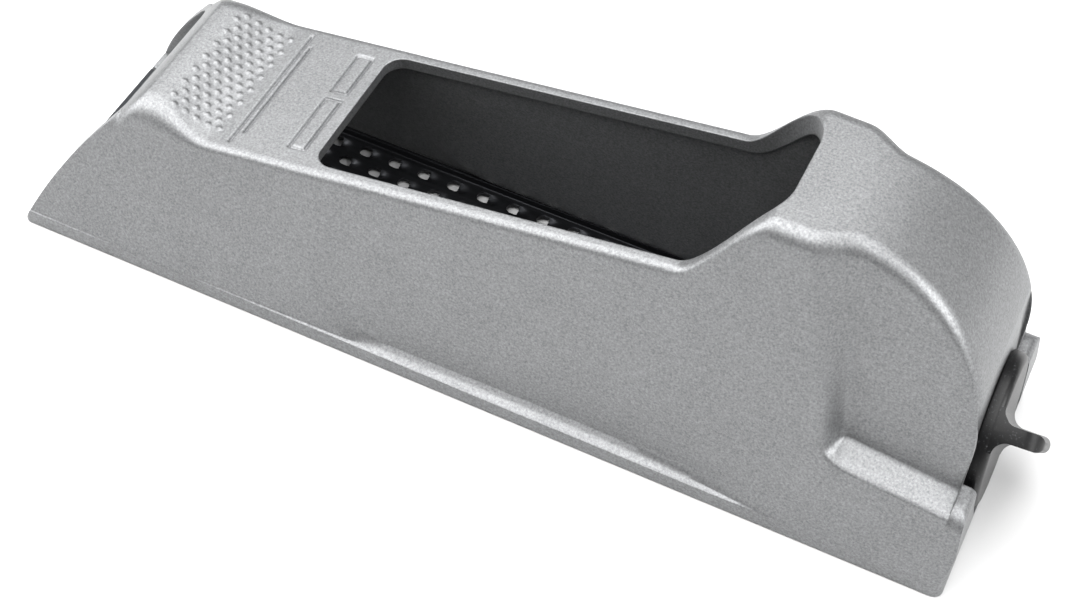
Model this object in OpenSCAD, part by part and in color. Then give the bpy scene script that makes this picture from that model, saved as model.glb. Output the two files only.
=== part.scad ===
// Small one-handed rasp plane: a die-cast open shell that holds a perforated rasp blade under tension.
// X runs from the toe to the heel, Y across, Z up; lengths along the tool are measured from the toe.

/* [Body casting] */
// Length of the casting from the toe to the heel wings
body_len = 160; // [150:1:172]
// Width over the sole rails
body_w = 44; // [43:0.5:48]
// Wall of the casting
wall = 1.8; // [1.6:0.1:2.3]
// Height of the upright edge of the sole rails
rail_h = 2.5; // [2:0.1:3]
// Inward step above the sole rails
rail_step = 0.4; // [0.2:0.1:0.7]
// Thickness of the sole rails beside the blade
rail_t = 2; // [1.7:0.1:2.4]
// Radius of the four upright corners of the sole
sole_r = 1.6; // [1:0.1:2]
// Clearance between the blade and the rails
blade_gap = 0.3; // [0.2:0.05:0.5]

/* [Deck] */
// Width across the top of the deck, to its sharp corners
deck_w = 30.4; // [29:0.2:33]
// Height of the deck at the front of the chip opening
deck_h = 30.7; // [28:0.5:33]
// Climb of the deck towards the heel, in degrees
deck_rise = 9.5; // [7:0.5:11]
// Radius of the long deck corners
deck_r = 1.5; // [1:0.1:2]
// Rise of the front lip above the line of the deck
lip_rise = 4.2; // [3:0.2:5]
// Distance from the toe to the front lip
lip_x = 21; // [19:0.5:23]
// Length over which the deck turns up to the lip
lip_run = 12; // [9:0.5:14]
// Radius of the deck corners at the front lip
lip_r = 4.5; // [3:0.5:5.5]

/* [Chip opening] */
// Distance from the toe to the front of the chip opening
opening_x = 50.5; // [48:0.5:54]
// Length of the chip opening
opening_len = 71.6; // [68:0.2:72]
// Width of the chip opening
opening_w = 26; // [24:0.2:26.6]
// Radius of its front corners
opening_front_r = 3; // [2:0.5:5]
// Radius of its rear corners, where it climbs the hump
opening_rear_r = 8.4; // [6:0.2:10]

/* [Palm hump] */
// Height of the palm hump above the sole rails
hump_h = 54.1; // [51:0.5:56]
// Distance from the toe to the foot of the hump
hump_x = 109.3; // [108:0.1:111]
// Length of the climb from the deck to the top of the hump
hump_run = 12.7; // [11:0.5:14]
// Distance from the toe to the crown, where the heel arc starts
crown_x = 128; // [126:0.5:131]
// Radius of the hump corners
hump_r = 2.8; // [2:0.2:3.4]
// Height at which the heel arc meets the upright heel wall
heel_z = 24; // [22:0.5:26]
// Setback of the heel wall from the heel block
heel_setback = 3; // [2.6:0.1:3.4]
// Thickness of the heel wall at the knob
heel_wall = 3.6; // [3:0.1:4.2]
// Height of the heel block on both sides of the knob
wing_h = 17.8; // [17.4:0.1:18.6]
// Radius of the upper rear edge of the heel block
wing_r = 1.6; // [1:0.1:2]
// Radius of the two outer upper corners of the heel block
wing_round = 3.6; // [2.6:0.1:4]

/* [Thumb pockets] */
// Height of the pocket floor at its front end
pocket_floor = 17.6; // [17:0.1:18.6]
// Fall of the floor towards the heel, for each millimetre of length
floor_fall = 0.085; // [0.05:0.01:0.1]
// Depth of the pockets at the floor
pocket_depth = 4.3; // [3:0.1:4.6]
// Part of that depth left at the top of the hump
pocket_top = 0.72; // [0.5:0.02:1]
// Distance from the toe to the front step of the pocket, at its floor
pocket_x = 137; // [135:0.2:139]
// Forward lean of the front step for each millimetre of height
pocket_lean = 0.28; // [0.2:0.02:0.32]
// Run of the front step at the floor
pocket_ramp = 3; // [2:0.25:4]
// Growth of that run for each millimetre of height
pocket_spread = 0.14; // [0.1:0.02:0.2]

/* [Finger hollow] */
// Depth of the finger hollow in each side
hollow_depth = 1.3; // [0.8:0.1:1.4]
// Distance from the toe to the front of the hollow
hollow_x = 50; // [46:0.5:54]
// Length of the hollow
hollow_len = 97; // [90:1:100]
// Run over which the front of the hollow fades in
hollow_front = 9; // [6:0.5:12]
// Reach by which the front of the hollow bows back near the sole
hollow_bow = 12; // [8:0.5:14]
// Run over which the rear of the hollow fades out
hollow_rear = 46; // [35:1:50]

/* [Grip pad] */
// Distance from the toe to the first row of pips
pad_x = 24.3; // [23.8:0.1:25]
// Spacing of the rows of pips
pip_pitch = 0.97; // [0.9:0.01:1]
// Spacing of the pips in a row
pip_spacing = 3.17; // [2.8:0.01:3.2]
// Width of a pip, corner to corner
pip_w = 1.1; // [0.8:0.05:1.3]
// Height of a pip
pip_h = 0.3; // [0.2:0.05:0.5]
// Number of rows along the pad
pip_rows = 10; // [6:1:10]
// Number of pips in the wider rows
pip_columns = 8; // [5:1:8]
// Width of the grooves in the deck
groove_w = 0.45; // [0.3:0.05:0.6]
// Depth of the grooves in the deck
groove_depth = 0.35; // [0.2:0.05:0.5]

/* [Toe] */
// Lean of the toe slope from upright at the sole, in degrees
toe_lean = 23; // [21:0.5:25]
// Radius of the slope seen from the side
toe_r = 98; // [92:1:104]
// Setback of the foot of the slope at the sole
toe_start = 0.4; // [0.2:0.1:1]
// Half width of the toe mouth at the sole
mouth_half = 15.8; // [14:0.2:16.4]
// Top of the toe bar above the sole rails
toe_bar_h = 2.8; // [2.4:0.1:3.2]
// Length of the toe bar along the tool
toe_bar_len = 3; // [2.4:0.1:4]

/* [Blade] */
// Room for the hook and the nut between the blade's turned-up end and the seat of the knob
heel_room = 16.35; // [15.9:0.05:17]
// Thickness of the blade strip
blade_t = 0.65; // [0.5:0.05:0.8]
// Height of the rasp teeth below the strip
tooth_h = 0.8; // [0.5:0.05:1]
// Reach of the tooth tips below the sole rails
tooth_drop = 0.3; // [0.2:0.05:0.4]
// Spacing of the tooth columns along the blade
tooth_pitch = 5.6; // [5:0.1:7]
// Spacing of the tooth rows across the blade
row_pitch = 3.4; // [3:0.1:4]
// Shift of each row along the blade
row_shift = 2.1; // [1:0.1:3]
// Width of a tooth
tooth_w = 2.1; // [1.6:0.1:2.5]
// Length of the throat in front of a tooth
throat_len = 1.9; // [1.5:0.1:2.3]
// Height of the folded side flanges above the strip
flange_h = 1.3; // [0.9:0.1:1.4]
// Half width of the turned-up toe end
toe_tab_half = 15.4; // [12:0.2:15.6]
// Half width of the turned-up heel end
heel_tab_half = 11; // [8:0.5:12]
// Height of the turned-up heel end above the strip
heel_tab_h = 6; // [4:0.5:7]

/* [Tension hook] */
// Thickness of the hook plate
hook_t = 2.4; // [2:0.1:3]
// Half width of the foot of the hook
hook_half = 11; // [9:0.2:12]
// Radius of the head of the hook round the screw
hook_head = 6.6; // [6:0.2:7.4]
// Clearance under the foot of the hook
foot_gap = 0.4; // [0.3:0.05:0.8]
// Length of the guide lugs
lug_len = 8; // [6:0.5:9]
// Thickness of the guide lugs
lug_t = 2.4; // [2:0.1:3]
// Drop of the middle of the guide lugs below the screw
lug_drop = 5.4; // [4.8:0.1:6]
// Reach of the guide lugs from the centre line
lug_half = 16.2; // [15.4:0.1:16.6]
// Running gap round the guide lugs
lug_gap = 0.2; // [0.15:0.05:0.35]
// Thickness of the cast guide ribs
rib_t = 1.3; // [1:0.1:1.6]
// Reach of the guide ribs under and over the lugs
rib_reach = 2.4; // [1.6:0.1:3]
// Travel of the hook from tight to slack
hook_travel = 4; // [2:0.5:5]

/* [Screw and knob] */
// Diameter of the tension screw
screw_d = 5; // [4.5:0.1:5.5]
// Height of the screw above the sole rails, at the knob seat
screw_z = 14.8; // [14.2:0.1:15.4]
// Climb of the screw towards the knob, in degrees
screw_tilt = 4; // [2:0.5:5]
// Radial clearance round the screw
screw_gap = 0.1; // [0.05:0.05:0.2]
// Side of the square tension nut
nut_w = 8; // [7:0.5:9]
// Thickness of the tension nut
nut_t = 4; // [3:0.25:5]
// Thickness of the keepers above and below the nut
keeper_t = 1.2; // [1:0.1:1.6]
// Width across the flats of the screw head
head_w = 8; // [7:0.5:9]
// Thickness of the screw head
head_t = 1.6; // [1.2:0.1:1.8]
// Thickness of the washers
washer_t = 0.8; // [0.5:0.1:1]
// Diameter of the washer under the knob
knob_washer_d = 16; // [13:0.5:18]
// Diameter of the washer inside the heel wall
wall_washer_d = 11; // [9:0.5:12]
// Thickness of the retaining ring
ring_t = 0.8; // [0.6:0.1:1]
// Diameter of the retaining ring
ring_d = 9; // [8:0.5:10]
// Diameter of the thumb knob
knob_d = 24.4; // [22:0.2:25.2]
// Thickness of the knob's disc
knob_t = 2.5; // [2.3:0.1:3]
// Rounding of the outer edge of the disc
knob_r = 1.2; // [0.8:0.1:1.5]
// Reach of the grip bar from the knob's back face
knob_reach = 9.3; // [8:0.1:11]
// Thickness of the grip bar
bar_t = 2.4; // [1.8:0.1:3]
// Fillet where the bar meets the disc
bar_fillet = 2.2; // [1.6:0.1:3]
// Radius of the two corners of the bar
bar_corner = 3.6; // [2.5:0.1:4.5]
// Tilt of the grip bar from level at rest, in degrees
bar_turn = 46; // [0:1:90]
// Clearance between faces that turn or slide on each other
face_gap = 0.05; // [0.03:0.01:0.1]
// Gap between the knob and the heel block
knob_gap = 1; // [0.6:0.1:1.4]

/* [Hidden] */
$fn = 64;
bite = 1;
hair = 0.02;
seat_x = body_len - heel_setback;
dip_x = lip_x + lip_run;
side_y = body_w / 2 - rail_step;
channel_half = body_w / 2 - rail_t;
blade_half = channel_half - blade_gap;
strip_z = tooth_h - tooth_drop;
strip_top = strip_z + blade_t;
heel_inside = seat_x - heel_wall;
boss_t = 0.8;
knob_out = face_gap + knob_reach - bar_corner;
bar_half = knob_d / 2 - 0.1;
bar_swing = sin(screw_tilt) * sin(bar_turn);
overall_len = seat_x + knob_out * cos(screw_tilt) + (bar_half - bar_corner) * bar_swing
    + bar_corner * norm([cos(screw_tilt), bar_swing]);

function smooth(t) = let (c = min(1, max(0, t))) c * c * (3 - 2 * c);
function deck_line(x) = deck_h + (x - opening_x) * tan(deck_rise);

// Height of the casting's upper surface above the rails
function heel_arc(x) =
    let (u = min(1, (x - crown_x) / (seat_x - crown_x)))
    heel_z + (hump_h - heel_z) * sqrt(1 - u * u);
function lip_fall(x) = 0.2 * pow(max(0, lip_x - x), 2);
function top_z(x) =
    x > seat_x ? wing_h :
    x > crown_x ? heel_arc(x) :
    let (deck = deck_line(max(x, lip_x)))
    deck + lip_rise * smooth((dip_x - x) / lip_run) + (hump_h - deck) * smooth((x - hump_x) / hump_run)
    - lip_fall(max(x, 0.8 * lip_x));

// Depth of the thumb pocket and of the finger hollow at a place on the side
function floor_z(x) = pocket_floor - floor_fall * max(0, x - pocket_x);
function pocket(x, z) =
    let (up = z - floor_z(x), share = 1 - (1 - pocket_top) * up / (hump_h - pocket_floor))
    pocket_depth * share
    * smooth((x - pocket_x + pocket_lean * up) / (pocket_ramp + pocket_spread * max(0, up)))
    * smooth(up / 1.2) * (x > seat_x + hair / 2 ? 0 : 1);
function bow(z) = hollow_bow * pow(max(0, 1 - z / 15), 2);
function hollow(x, z) =
    let (rise = (z - rail_h) / (deck_line(x) - rail_h))
    hollow_depth * smooth((x - hollow_x - bow(z)) / hollow_front)
    * smooth((hollow_x + hollow_len - x) / hollow_rear)
    * smooth((z - rail_h) / 1.6) * max(0, 1 - rise);

// Half width of the casting at a place along it and a height
function side_slope(x) = (side_y - deck_w / 2) / deck_line(min(x, hump_x));
function outer_half(x, z) =
    z <= rail_h ? body_w / 2 + rail_step :
    side_y - side_slope(x) * z - hollow(x, z) - pocket(x, z);
function inner_half(x, z) =
    side_y - side_slope(x) * z - hollow(x, z) - pocket(min(x + wall, seat_x), z + wall) - wall;
function inner_top(x) = min(top_z(x - wall), top_z(x), top_z(min(x + wall, seat_x))) - wall;
function corner_r(x) =
    x > seat_x ? wing_round :
    deck_r + (lip_r - deck_r) * smooth((dip_x - x) / lip_run)
    + (hump_r - deck_r) * smooth((x - hump_x) / hump_run);

// Sections lean with the front step of the pocket and bow with the front of the hollow
lean_run = pocket_lean * (hump_h - pocket_floor);
function lean_share(s) =
    smooth((s - hump_x - hump_run + 4) / (pocket_x - hump_x - hump_run + 2)) * smooth((seat_x - s) / 15);
function bow_share(s) = smooth((s - hollow_x + 16) / 14) * smooth((hollow_x + 50 - s) / 35);
function place(s, z, top) =
    s + bow(z) * bow_share(s)
    - lean_run * lean_share(s) * min(1, max(0, (z - floor_z(s)) / (top - floor_z(s))));

// Upper corner of a half section: a quarter round from the side to the flat top
function corner(r, steps) = [for (i = [0:steps]) let (a = 90 * i / steps) [r * cos(a) - r, r * sin(a)]];
function mirrored(half) =
    concat(half, [for (i = [len(half) - 1:-1:0]) [half[i][0], -half[i][1], half[i][2]]]);

outer_low = [0, rail_h, rail_h + 0.4, rail_h + 1.3, 6, 9.2, 12.4];
function outer_section(s) =
    let (top = top_z(s - lean_run * lean_share(s)), r = corner_r(s - lean_run * lean_share(s)),
        shoulder = top - r, foot = floor_z(s),
        edge = [for (i = [0:3]) min(foot + 0.4 * i, shoulder - 0.1 * (8 - i))],
        wall_z = [for (t = [1:4]) edge[3] + (shoulder - edge[3]) * t / 5],
        flank = [for (z = concat(outer_low, edge, wall_z))
            let (x = place(s, z, top))
            [x, outer_half(x, z), z]],
        x_s = place(s, shoulder, top), y_s = outer_half(x_s, shoulder))
    mirrored(concat(flank,
        [for (c = corner(r, 4)) [place(s, shoulder + c[1], top), y_s + c[0], shoulder + c[1]]]));

inner_low = [-bite, rail_h + 0.4, 6.5, 12];
function inner_section(s) =
    let (top = inner_top(s), r = max(0.8, corner_r(s) - wall / 2),
        shoulder = top - r, foot = floor_z(s) - wall,
        edge = [for (i = [0:2]) min(foot + 0.6 * i, shoulder - 0.1 * (6 - i))],
        wall_z = [for (t = [1:2]) edge[2] + (shoulder - edge[2]) * t / 3])
    mirrored(concat([for (z = concat(inner_low, edge, wall_z)) [s, inner_half(s, max(z, rail_h + 0.4)), z]],
        [for (c = corner(r, 2)) [s, inner_half(s, shoulder) + c[0], shoulder + c[1]]]));

// Places along the tool at which the sections are taken
function spread(a, b, n) = [for (i = [0:n - 1]) a + (b - a) * i / n];
heel_from = pocket_x + 5;
outer_places = concat([-bite, 0.8 * lip_x], spread(0.87 * lip_x, lip_x, 3), spread(lip_x, dip_x, 6),
    spread(dip_x, hollow_x - 8, 2), spread(hollow_x - 8, hollow_x + 18, 9), spread(hollow_x + 18, hump_x, 4),
    spread(hump_x, hump_x + hump_run, 9), spread(hump_x + hump_run, pocket_x - 1, 5),
    spread(pocket_x - 1, heel_from, 8),
    [for (i = [0:12]) heel_from + (seat_x - heel_from) * sin(90 * i / 12)],
    [seat_x + hair, body_len + bite]);
inner_places = concat([-6, lip_x], spread(lip_x + 2, dip_x, 4), spread(dip_x, hollow_x, 1),
    spread(hollow_x, hollow_x + 24, 4), spread(hollow_x + 24, hump_x, 2),
    spread(hump_x, hump_x + hump_run + 4, 6),
    spread(hump_x + hump_run + 4, 139, 5), spread(139, heel_inside, 7), [heel_inside]);

// Closed skin through a list of sections
module loft(sections) {
    n = len(sections[0]);
    last = len(sections) - 1;
    points = [for (ring = sections, p = ring) p];
    front_end = [for (j = [0:n / 2 - 2]) [j, j + 1, n - 2 - j, n - 1 - j]];
    rear_end = [for (j = [0:n / 2 - 2], k = [last * n]) [k + n - 1 - j, k + n - 2 - j, k + j + 1, k + j]];
    sides = [for (i = [0:last - 1], j = [0:n - 1])
        let (a = i * n + j, b = i * n + (j + 1) % n)
        each [[a, a + n, b], [b, a + n, b + n]]];
    polyhedron(points, concat(front_end, rear_end, sides), convexity = 10);
}

// Side view of the casting: one large arc up the toe slope, then a clear margin, then the rounded wings
module side_outline() {
    difference() {
        union() {
            intersection() {
                translate([toe_start + toe_r * cos(toe_lean), -toe_r * sin(toe_lean)])
                    circle(toe_r, $fn = 240);
                square([dip_x + bite, 2 * hump_h]);
            }
            translate([dip_x, 0])
                square([body_len - dip_x, 2 * hump_h]);
        }
        translate([body_len - wing_r, wing_h - wing_r])
            difference() {
                square([wing_r + bite, wing_r + bite]);
                circle(wing_r);
            }
    }
}

module upright(low, high) {
    rotate([90, 0, 0])
        translate([0, 0, low])
            linear_extrude(high - low)
                children();
}

// Plan of the sole with its four rounded corners
module sole_outline() {
    half = body_w / 2;
    translate([sole_r, -half])
        square([body_len - 2 * sole_r, body_w]);
    translate([0, sole_r - half])
        square([body_len, body_w - 2 * sole_r]);
    for (x = [sole_r, body_len - sole_r], y = [sole_r - half, half - sole_r])
        translate([x, y])
            circle(sole_r);
}

module casting_skin() {
    intersection() {
        loft([for (s = outer_places) outer_section(s)]);
        upright(-body_w, body_w) side_outline();
        translate([0, 0, -bite])
            linear_extrude(2 * hump_h)
                sole_outline();
    }
}

// Plan of the chip opening: small corners at the front, large ones at the rear
module opening_plan() {
    half = opening_w / 2;
    rear_x = opening_x + opening_len;
    translate([opening_x, opening_front_r - half])
        square([opening_len - opening_rear_r, opening_w - 2 * opening_front_r]);
    translate([opening_x + opening_front_r, -half])
        square([opening_len - opening_front_r - opening_rear_r, opening_w]);
    translate([rear_x - opening_rear_r - hair, opening_rear_r - half])
        square([opening_rear_r + hair, opening_w - 2 * opening_rear_r]);
    for (side = [-1, 1]) {
        translate([opening_x + opening_front_r, side * (half - opening_front_r)])
            circle(opening_front_r);
        translate([rear_x - opening_rear_r, side * (half - opening_rear_r)])
            circle(opening_rear_r);
    }
}

// Frame of the tension screw: along it from the knob seat outwards, across, and up
module on_axis(d) {
    translate([seat_x, 0, screw_z])
        rotate([0, -screw_tilt, 0])
            translate([d, 0, 0])
                children();
}

module round_bar(from, to, r) {
    on_axis(from)
        rotate([0, 90, 0])
            cylinder(h = to - from, r = r);
}

// Place along the tool of a plane square to the screw, at a height above the rails
function on_plane(d, z) = seat_x + d / cos(screw_tilt) - (z - screw_z) * tan(screw_tilt);

// Seat of the knob in the heel block and wall, open upwards
module knob_recess() {
    r = knob_d / 2 + knob_gap;
    round_bar(0, 4 * heel_setback, r);
    on_axis(0)
        translate([0, -r, 0])
            cube([4 * heel_setback, 2 * r, hump_h]);
}

blade_start = 1.6;
blade_end = seat_x - heel_room;
blade_len = blade_end + blade_t - blade_start;
tab_d = (blade_end - seat_x + (strip_z - screw_z) * tan(screw_tilt)) * cos(screw_tilt);
hook_d = tab_d - face_gap - hook_t;
bar_x = blade_start + blade_t + face_gap;

// Pairs of ribs on the side walls that guide the lugs of the tension hook
module guide_ribs() {
    front = hook_d - lug_len - hook_travel - 0.5;
    low = -lug_drop - lug_t / 2 - lug_gap - rib_t;
    high = -lug_drop + lug_t / 2 + lug_gap;
    rib_in = lug_half - rib_reach;
    on_axis(front)
        for (side = [-1, 1], z = [low, high]) {
            rib_out = side_y - side_slope(hump_x) * (screw_z + z + rib_t) - 0.6 * wall;
            translate([0, side > 0 ? rib_in : -rib_out, z])
                cube([-heel_wall - front + 0.4, rib_out - rib_in, rib_t]);
        }
}

// Rows of small raised diamonds, every other row between the ones before, each row on the deck at its place
module pips() {
    for (row = [0:pip_rows - 1]) {
        x = pad_x + row * pip_pitch;
        count = pip_columns - (row + 1) % 2;
        translate([x, 0, top_z(x) - wall / 2])
            linear_extrude(wall / 2 + pip_h)
                for (column = [0:count - 1])
                    translate([0, (column - (count - 1) / 2) * pip_spacing])
                        rotate(45)
                            square(pip_w * sqrt(0.5), center = true);
    }
}

// Two long grooves behind the pad, and two empty frames in front of the opening
module deck_lines() {
    for (line = [[36.05, 12.9], [37.2, 10.4]])
        translate([line[0] - groove_w / 2, -line[1]])
            square([groove_w, 2 * line[1]]);
    for (frame = [[-11.1, 0.9], [2.3, 11.4]])
        translate([45.2, frame[0]])
            difference() {
                square([3, frame[1] - frame[0]]);
                translate([groove_w, groove_w])
                    square([3 - 2 * groove_w, frame[1] - frame[0] - 2 * groove_w]);
            }
}

// The lines are sunk square to the deck, which climbs to the heel
module deck_grooves() {
    translate([opening_x, 0, deck_h])
        rotate([0, -deck_rise, 0])
            translate([-opening_x, 0, -groove_depth])
                linear_extrude(groove_depth + bite)
                    deck_lines();
}

module toe_bar() {
    translate([bar_x, -mouth_half - 0.5, strip_top + face_gap])
        cube([toe_bar_len, 2 * mouth_half + 1, toe_bar_h - strip_top - face_gap]);
}

module casting() {
    difference() {
        union() {
            difference() {
                casting_skin();
                difference() {
                    loft([for (s = inner_places) inner_section(s)]);
                    // The toe corners stay solid beside the mouth, down to the rails
                    for (side = [-1, 1])
                        translate([-7, side > 0 ? mouth_half : -body_w / 2, -2])
                            cube([bar_x + toe_bar_len + 7, body_w / 2 - mouth_half, rail_h + 2.5]);
                }
                // Channel for the blade between the rails
                translate([bar_x + toe_bar_len, -channel_half, -bite])
                    cube([blade_end + 2.4 - bar_x - toe_bar_len, 2 * channel_half,
                        strip_top + flange_h + blade_gap + bite]);
                translate([0, 0, deck_h / 2])
                    linear_extrude(hump_h)
                        opening_plan();
                deck_grooves();
            }
            toe_bar();
            guide_ribs();
            pips();
            round_bar(-heel_wall - boss_t, -heel_wall + bite, wall_washer_d / 2 + 0.6);
        }
        knob_recess();
        round_bar(-heel_wall - boss_t - bite, bite, screw_d / 2 + screw_gap);
        round_bar(-washer_t - face_gap, bite, knob_washer_d / 2 + 0.2);
    }
}

// The frame's origin is under the middle of the whole tool, at the tips of the teeth
module placed() {
    translate([-(overall_len + toe_start) / 2, 0, tooth_drop])
        children();
}

module body() {
    color("silver")
        placed()
            casting();
}

// Places of the rasp teeth, as points on the strip
function tooth_rows() = floor((2 * blade_half - 4) / row_pitch / 2);
function tooth_places() =
    [for (j = [-tooth_rows():tooth_rows()], i = [0:floor((blade_len - 26) / tooth_pitch)])
        let (shift = (j + 20) * row_shift)
        [12 + i * tooth_pitch + (shift - tooth_pitch * floor(shift / tooth_pitch)), j * row_pitch]];

strip_from = bar_x + toe_bar_len + 0.4;
strip_to = blade_end - 6;
module blade_strip() {
    difference() {
        union() {
            translate([blade_start, -toe_tab_half])
                square([6, 2 * toe_tab_half]);
            translate([strip_from, -blade_half])
                square([strip_to - strip_from, 2 * blade_half]);
            translate([strip_to - bite, -heel_tab_half])
                square([blade_end - strip_to + bite, 2 * heel_tab_half]);
        }
        for (p = tooth_places())
            translate(p + [0, -tooth_w / 2])
                square([throat_len, tooth_w]);
    }
}

// One rasp tooth: a ramp that comes down behind its throat to a sharp edge
module tooth() {
    upright(-tooth_w / 2, tooth_w / 2)
        polygon([[-hair, strip_z + hair], [-hair, -tooth_drop], [0.2, -tooth_drop], [2.3, strip_z + hair]]);
}

module blade() {
    color("dimgray")
        placed() {
            translate([0, 0, strip_z])
                linear_extrude(blade_t)
                    blade_strip();
            for (side = [-1, 1])
                translate([strip_from, side > 0 ? blade_half - blade_t : -blade_half, strip_z])
                    cube([strip_to - strip_from, blade_t, blade_t + flange_h]);
            translate([blade_start, -toe_tab_half, strip_z])
                cube([blade_t, 2 * toe_tab_half, toe_bar_h - strip_z]);
            // The turned-up heel end stands square to the screw
            upright(-heel_tab_half, heel_tab_half)
                polygon([for (p = [[0, strip_z], [blade_t, strip_z],
                    [blade_t, strip_top + heel_tab_h], [0, strip_top + heel_tab_h]])
                    [on_plane(tab_d + p[0], p[1]), p[1]]]);
            for (p = tooth_places())
                translate([p[0] + throat_len, p[1], 0])
                    tooth();
        }
}

// Plate seen along the screw: broad foot behind the blade's turned-up end, round head round the screw
module hook_outline() {
    foot_low = (strip_top + foot_gap - screw_z + (hook_travel - hook_d) * sin(screw_tilt)) / cos(screw_tilt);
    foot_high = -lug_drop + lug_t / 2 + 1.2;
    translate([-hook_half, foot_low])
        square([2 * hook_half, foot_high - foot_low]);
    translate([-hook_head, foot_high - bite])
        square([2 * hook_head, bite - foot_high]);
    circle(hook_head);
    translate([-lug_half, -lug_drop - lug_t / 2])
        square([2 * lug_half, lug_t]);
}

module across_axis(d, thickness) {
    on_axis(d)
        rotate([90, 0, 90])
            linear_extrude(thickness)
                children();
}

module tension_hook() {
    keep = nut_t * 0.7;
    color("lightsteelblue")
        placed()
            difference() {
                union() {
                    across_axis(hook_d, hook_t) hook_outline();
                    for (side = [-1, 1])
                        on_axis(hook_d - lug_len)
                            translate([0, side > 0 ? lug_half - 4 : -lug_half, -lug_drop - lug_t / 2])
                                cube([lug_len + hair, 4, lug_t]);
                    for (side = [-1, 1])
                        on_axis(hook_d - keep)
                            translate([0, -nut_w / 2, side * (nut_w / 2 + face_gap + keeper_t / 2) - keeper_t / 2])
                                cube([keep + hair, nut_w, keeper_t]);
                }
                round_bar(hook_d - bite, hook_d + hook_t + bite, screw_d / 2 + 0.3);
            }
}

module tension_nut() {
    color("gray")
        placed()
            difference() {
                across_axis(hook_d - face_gap - nut_t, nut_t)
                    square(nut_w, center = true);
                round_bar(hook_d - nut_t - bite, hook_d + bite, screw_d / 2 + screw_gap);
            }
}

wall_washer_at = -heel_wall - boss_t - face_gap - washer_t;
ring_at = wall_washer_at - face_gap - ring_t;

module tension_screw() {
    tip_d = hook_d - face_gap - nut_t - hook_travel - 1.5;
    color("silver")
        placed()
            difference() {
                union() {
                    round_bar(tip_d, face_gap + hair, screw_d / 2);
                    on_axis(face_gap)
                        rotate([0, 90, 0])
                            cylinder(h = head_t, d = head_w / cos(30), $fn = 6);
                }
                difference() {
                    round_bar(ring_at - face_gap, ring_at + ring_t + face_gap, screw_d);
                    round_bar(ring_at - bite, ring_at + ring_t + bite, screw_d / 2 - 0.5);
                }
            }
}

module washer(d, outer) {
    difference() {
        round_bar(d, d + washer_t, outer / 2);
        round_bar(d - bite, d + washer_t + bite, screw_d / 2 + screw_gap);
    }
}

module knob_washer() {
    color("lightgray")
        placed()
            washer(-washer_t, knob_washer_d);
}

module wall_washer() {
    color("lightgray")
        placed()
            washer(wall_washer_at, wall_washer_d);
}

// Open spring ring that sits in the groove of the screw
module retaining_ring() {
    color("darkgray")
        placed()
            difference() {
                round_bar(ring_at, ring_at + ring_t, ring_d / 2);
                round_bar(ring_at - bite, ring_at + ring_t + bite, screw_d / 2 - 0.5 + face_gap);
                on_axis(ring_at - bite)
                    translate([0, -screw_d * 0.35, 0])
                        cube([ring_t + 2 * bite, screw_d * 0.7, ring_d]);
            }
}

// Disc of the knob in half section: upright rim, then a large round to the flat face
module knob_half_section() {
    r = knob_d / 2;
    edge = 0.4;
    square([r - knob_r, knob_t]);
    translate([0, edge])
        square([r, knob_t - knob_r - edge]);
    square([r - edge, edge + hair]);
    translate([r - edge, edge])
        circle(edge);
    translate([r - knob_r, knob_t - knob_r])
        circle(knob_r);
}

// Grip bar seen end-on: a thin bar with a hollow fillet down each side to the disc
module bar_section() {
    difference() {
        translate([-bar_t / 2 - bar_fillet, knob_t / 2])
            square([bar_t + 2 * bar_fillet, knob_reach - bar_t / 2 - knob_t / 2]);
        for (side = [-1, 1])
            translate([side * (bar_t / 2 + bar_fillet), knob_t + bar_fillet]) {
                circle(bar_fillet);
                translate([-bar_fillet, 0])
                    square([2 * bar_fillet, knob_reach]);
            }
    }
    translate([0, knob_reach - bar_t / 2])
        circle(bar_t / 2);
}

// Grip bar seen from its side: flush with the rim at both ends, rounded corners
module bar_outline() {
    translate([-bar_half, knob_t / 2])
        square([2 * bar_half, knob_reach - bar_corner - knob_t / 2]);
    translate([bar_corner - bar_half, knob_t / 2])
        square([2 * (bar_half - bar_corner), knob_reach - knob_t / 2]);
    for (side = [-1, 1])
        translate([side * (bar_half - bar_corner), knob_reach - bar_corner])
            circle(bar_corner);
}

module knob() {
    color([0.1, 0.1, 0.1])
        placed()
            on_axis(face_gap)
                rotate([0, 90, 0])
                    difference() {
                        rotate([0, 0, -bar_turn]) {
                            rotate_extrude()
                                knob_half_section();
                            intersection() {
                                upright(-knob_d, knob_d) bar_section();
                                rotate([0, 0, 90])
                                    upright(-knob_d, knob_d) bar_outline();
                                cylinder(h = knob_reach, r = bar_half);
                            }
                        }
                        translate([0, 0, -bite])
                            cylinder(h = head_t + face_gap + bite, d = (head_w + 0.1) / cos(30), $fn = 6);
                    }
}

body();
blade();
tension_hook();
tension_nut();
tension_screw();
knob();
knob_washer();
wall_washer();
retaining_ring();
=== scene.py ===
import math
import bpy
import numpy as np
from mathutils import Matrix, Vector


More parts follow.
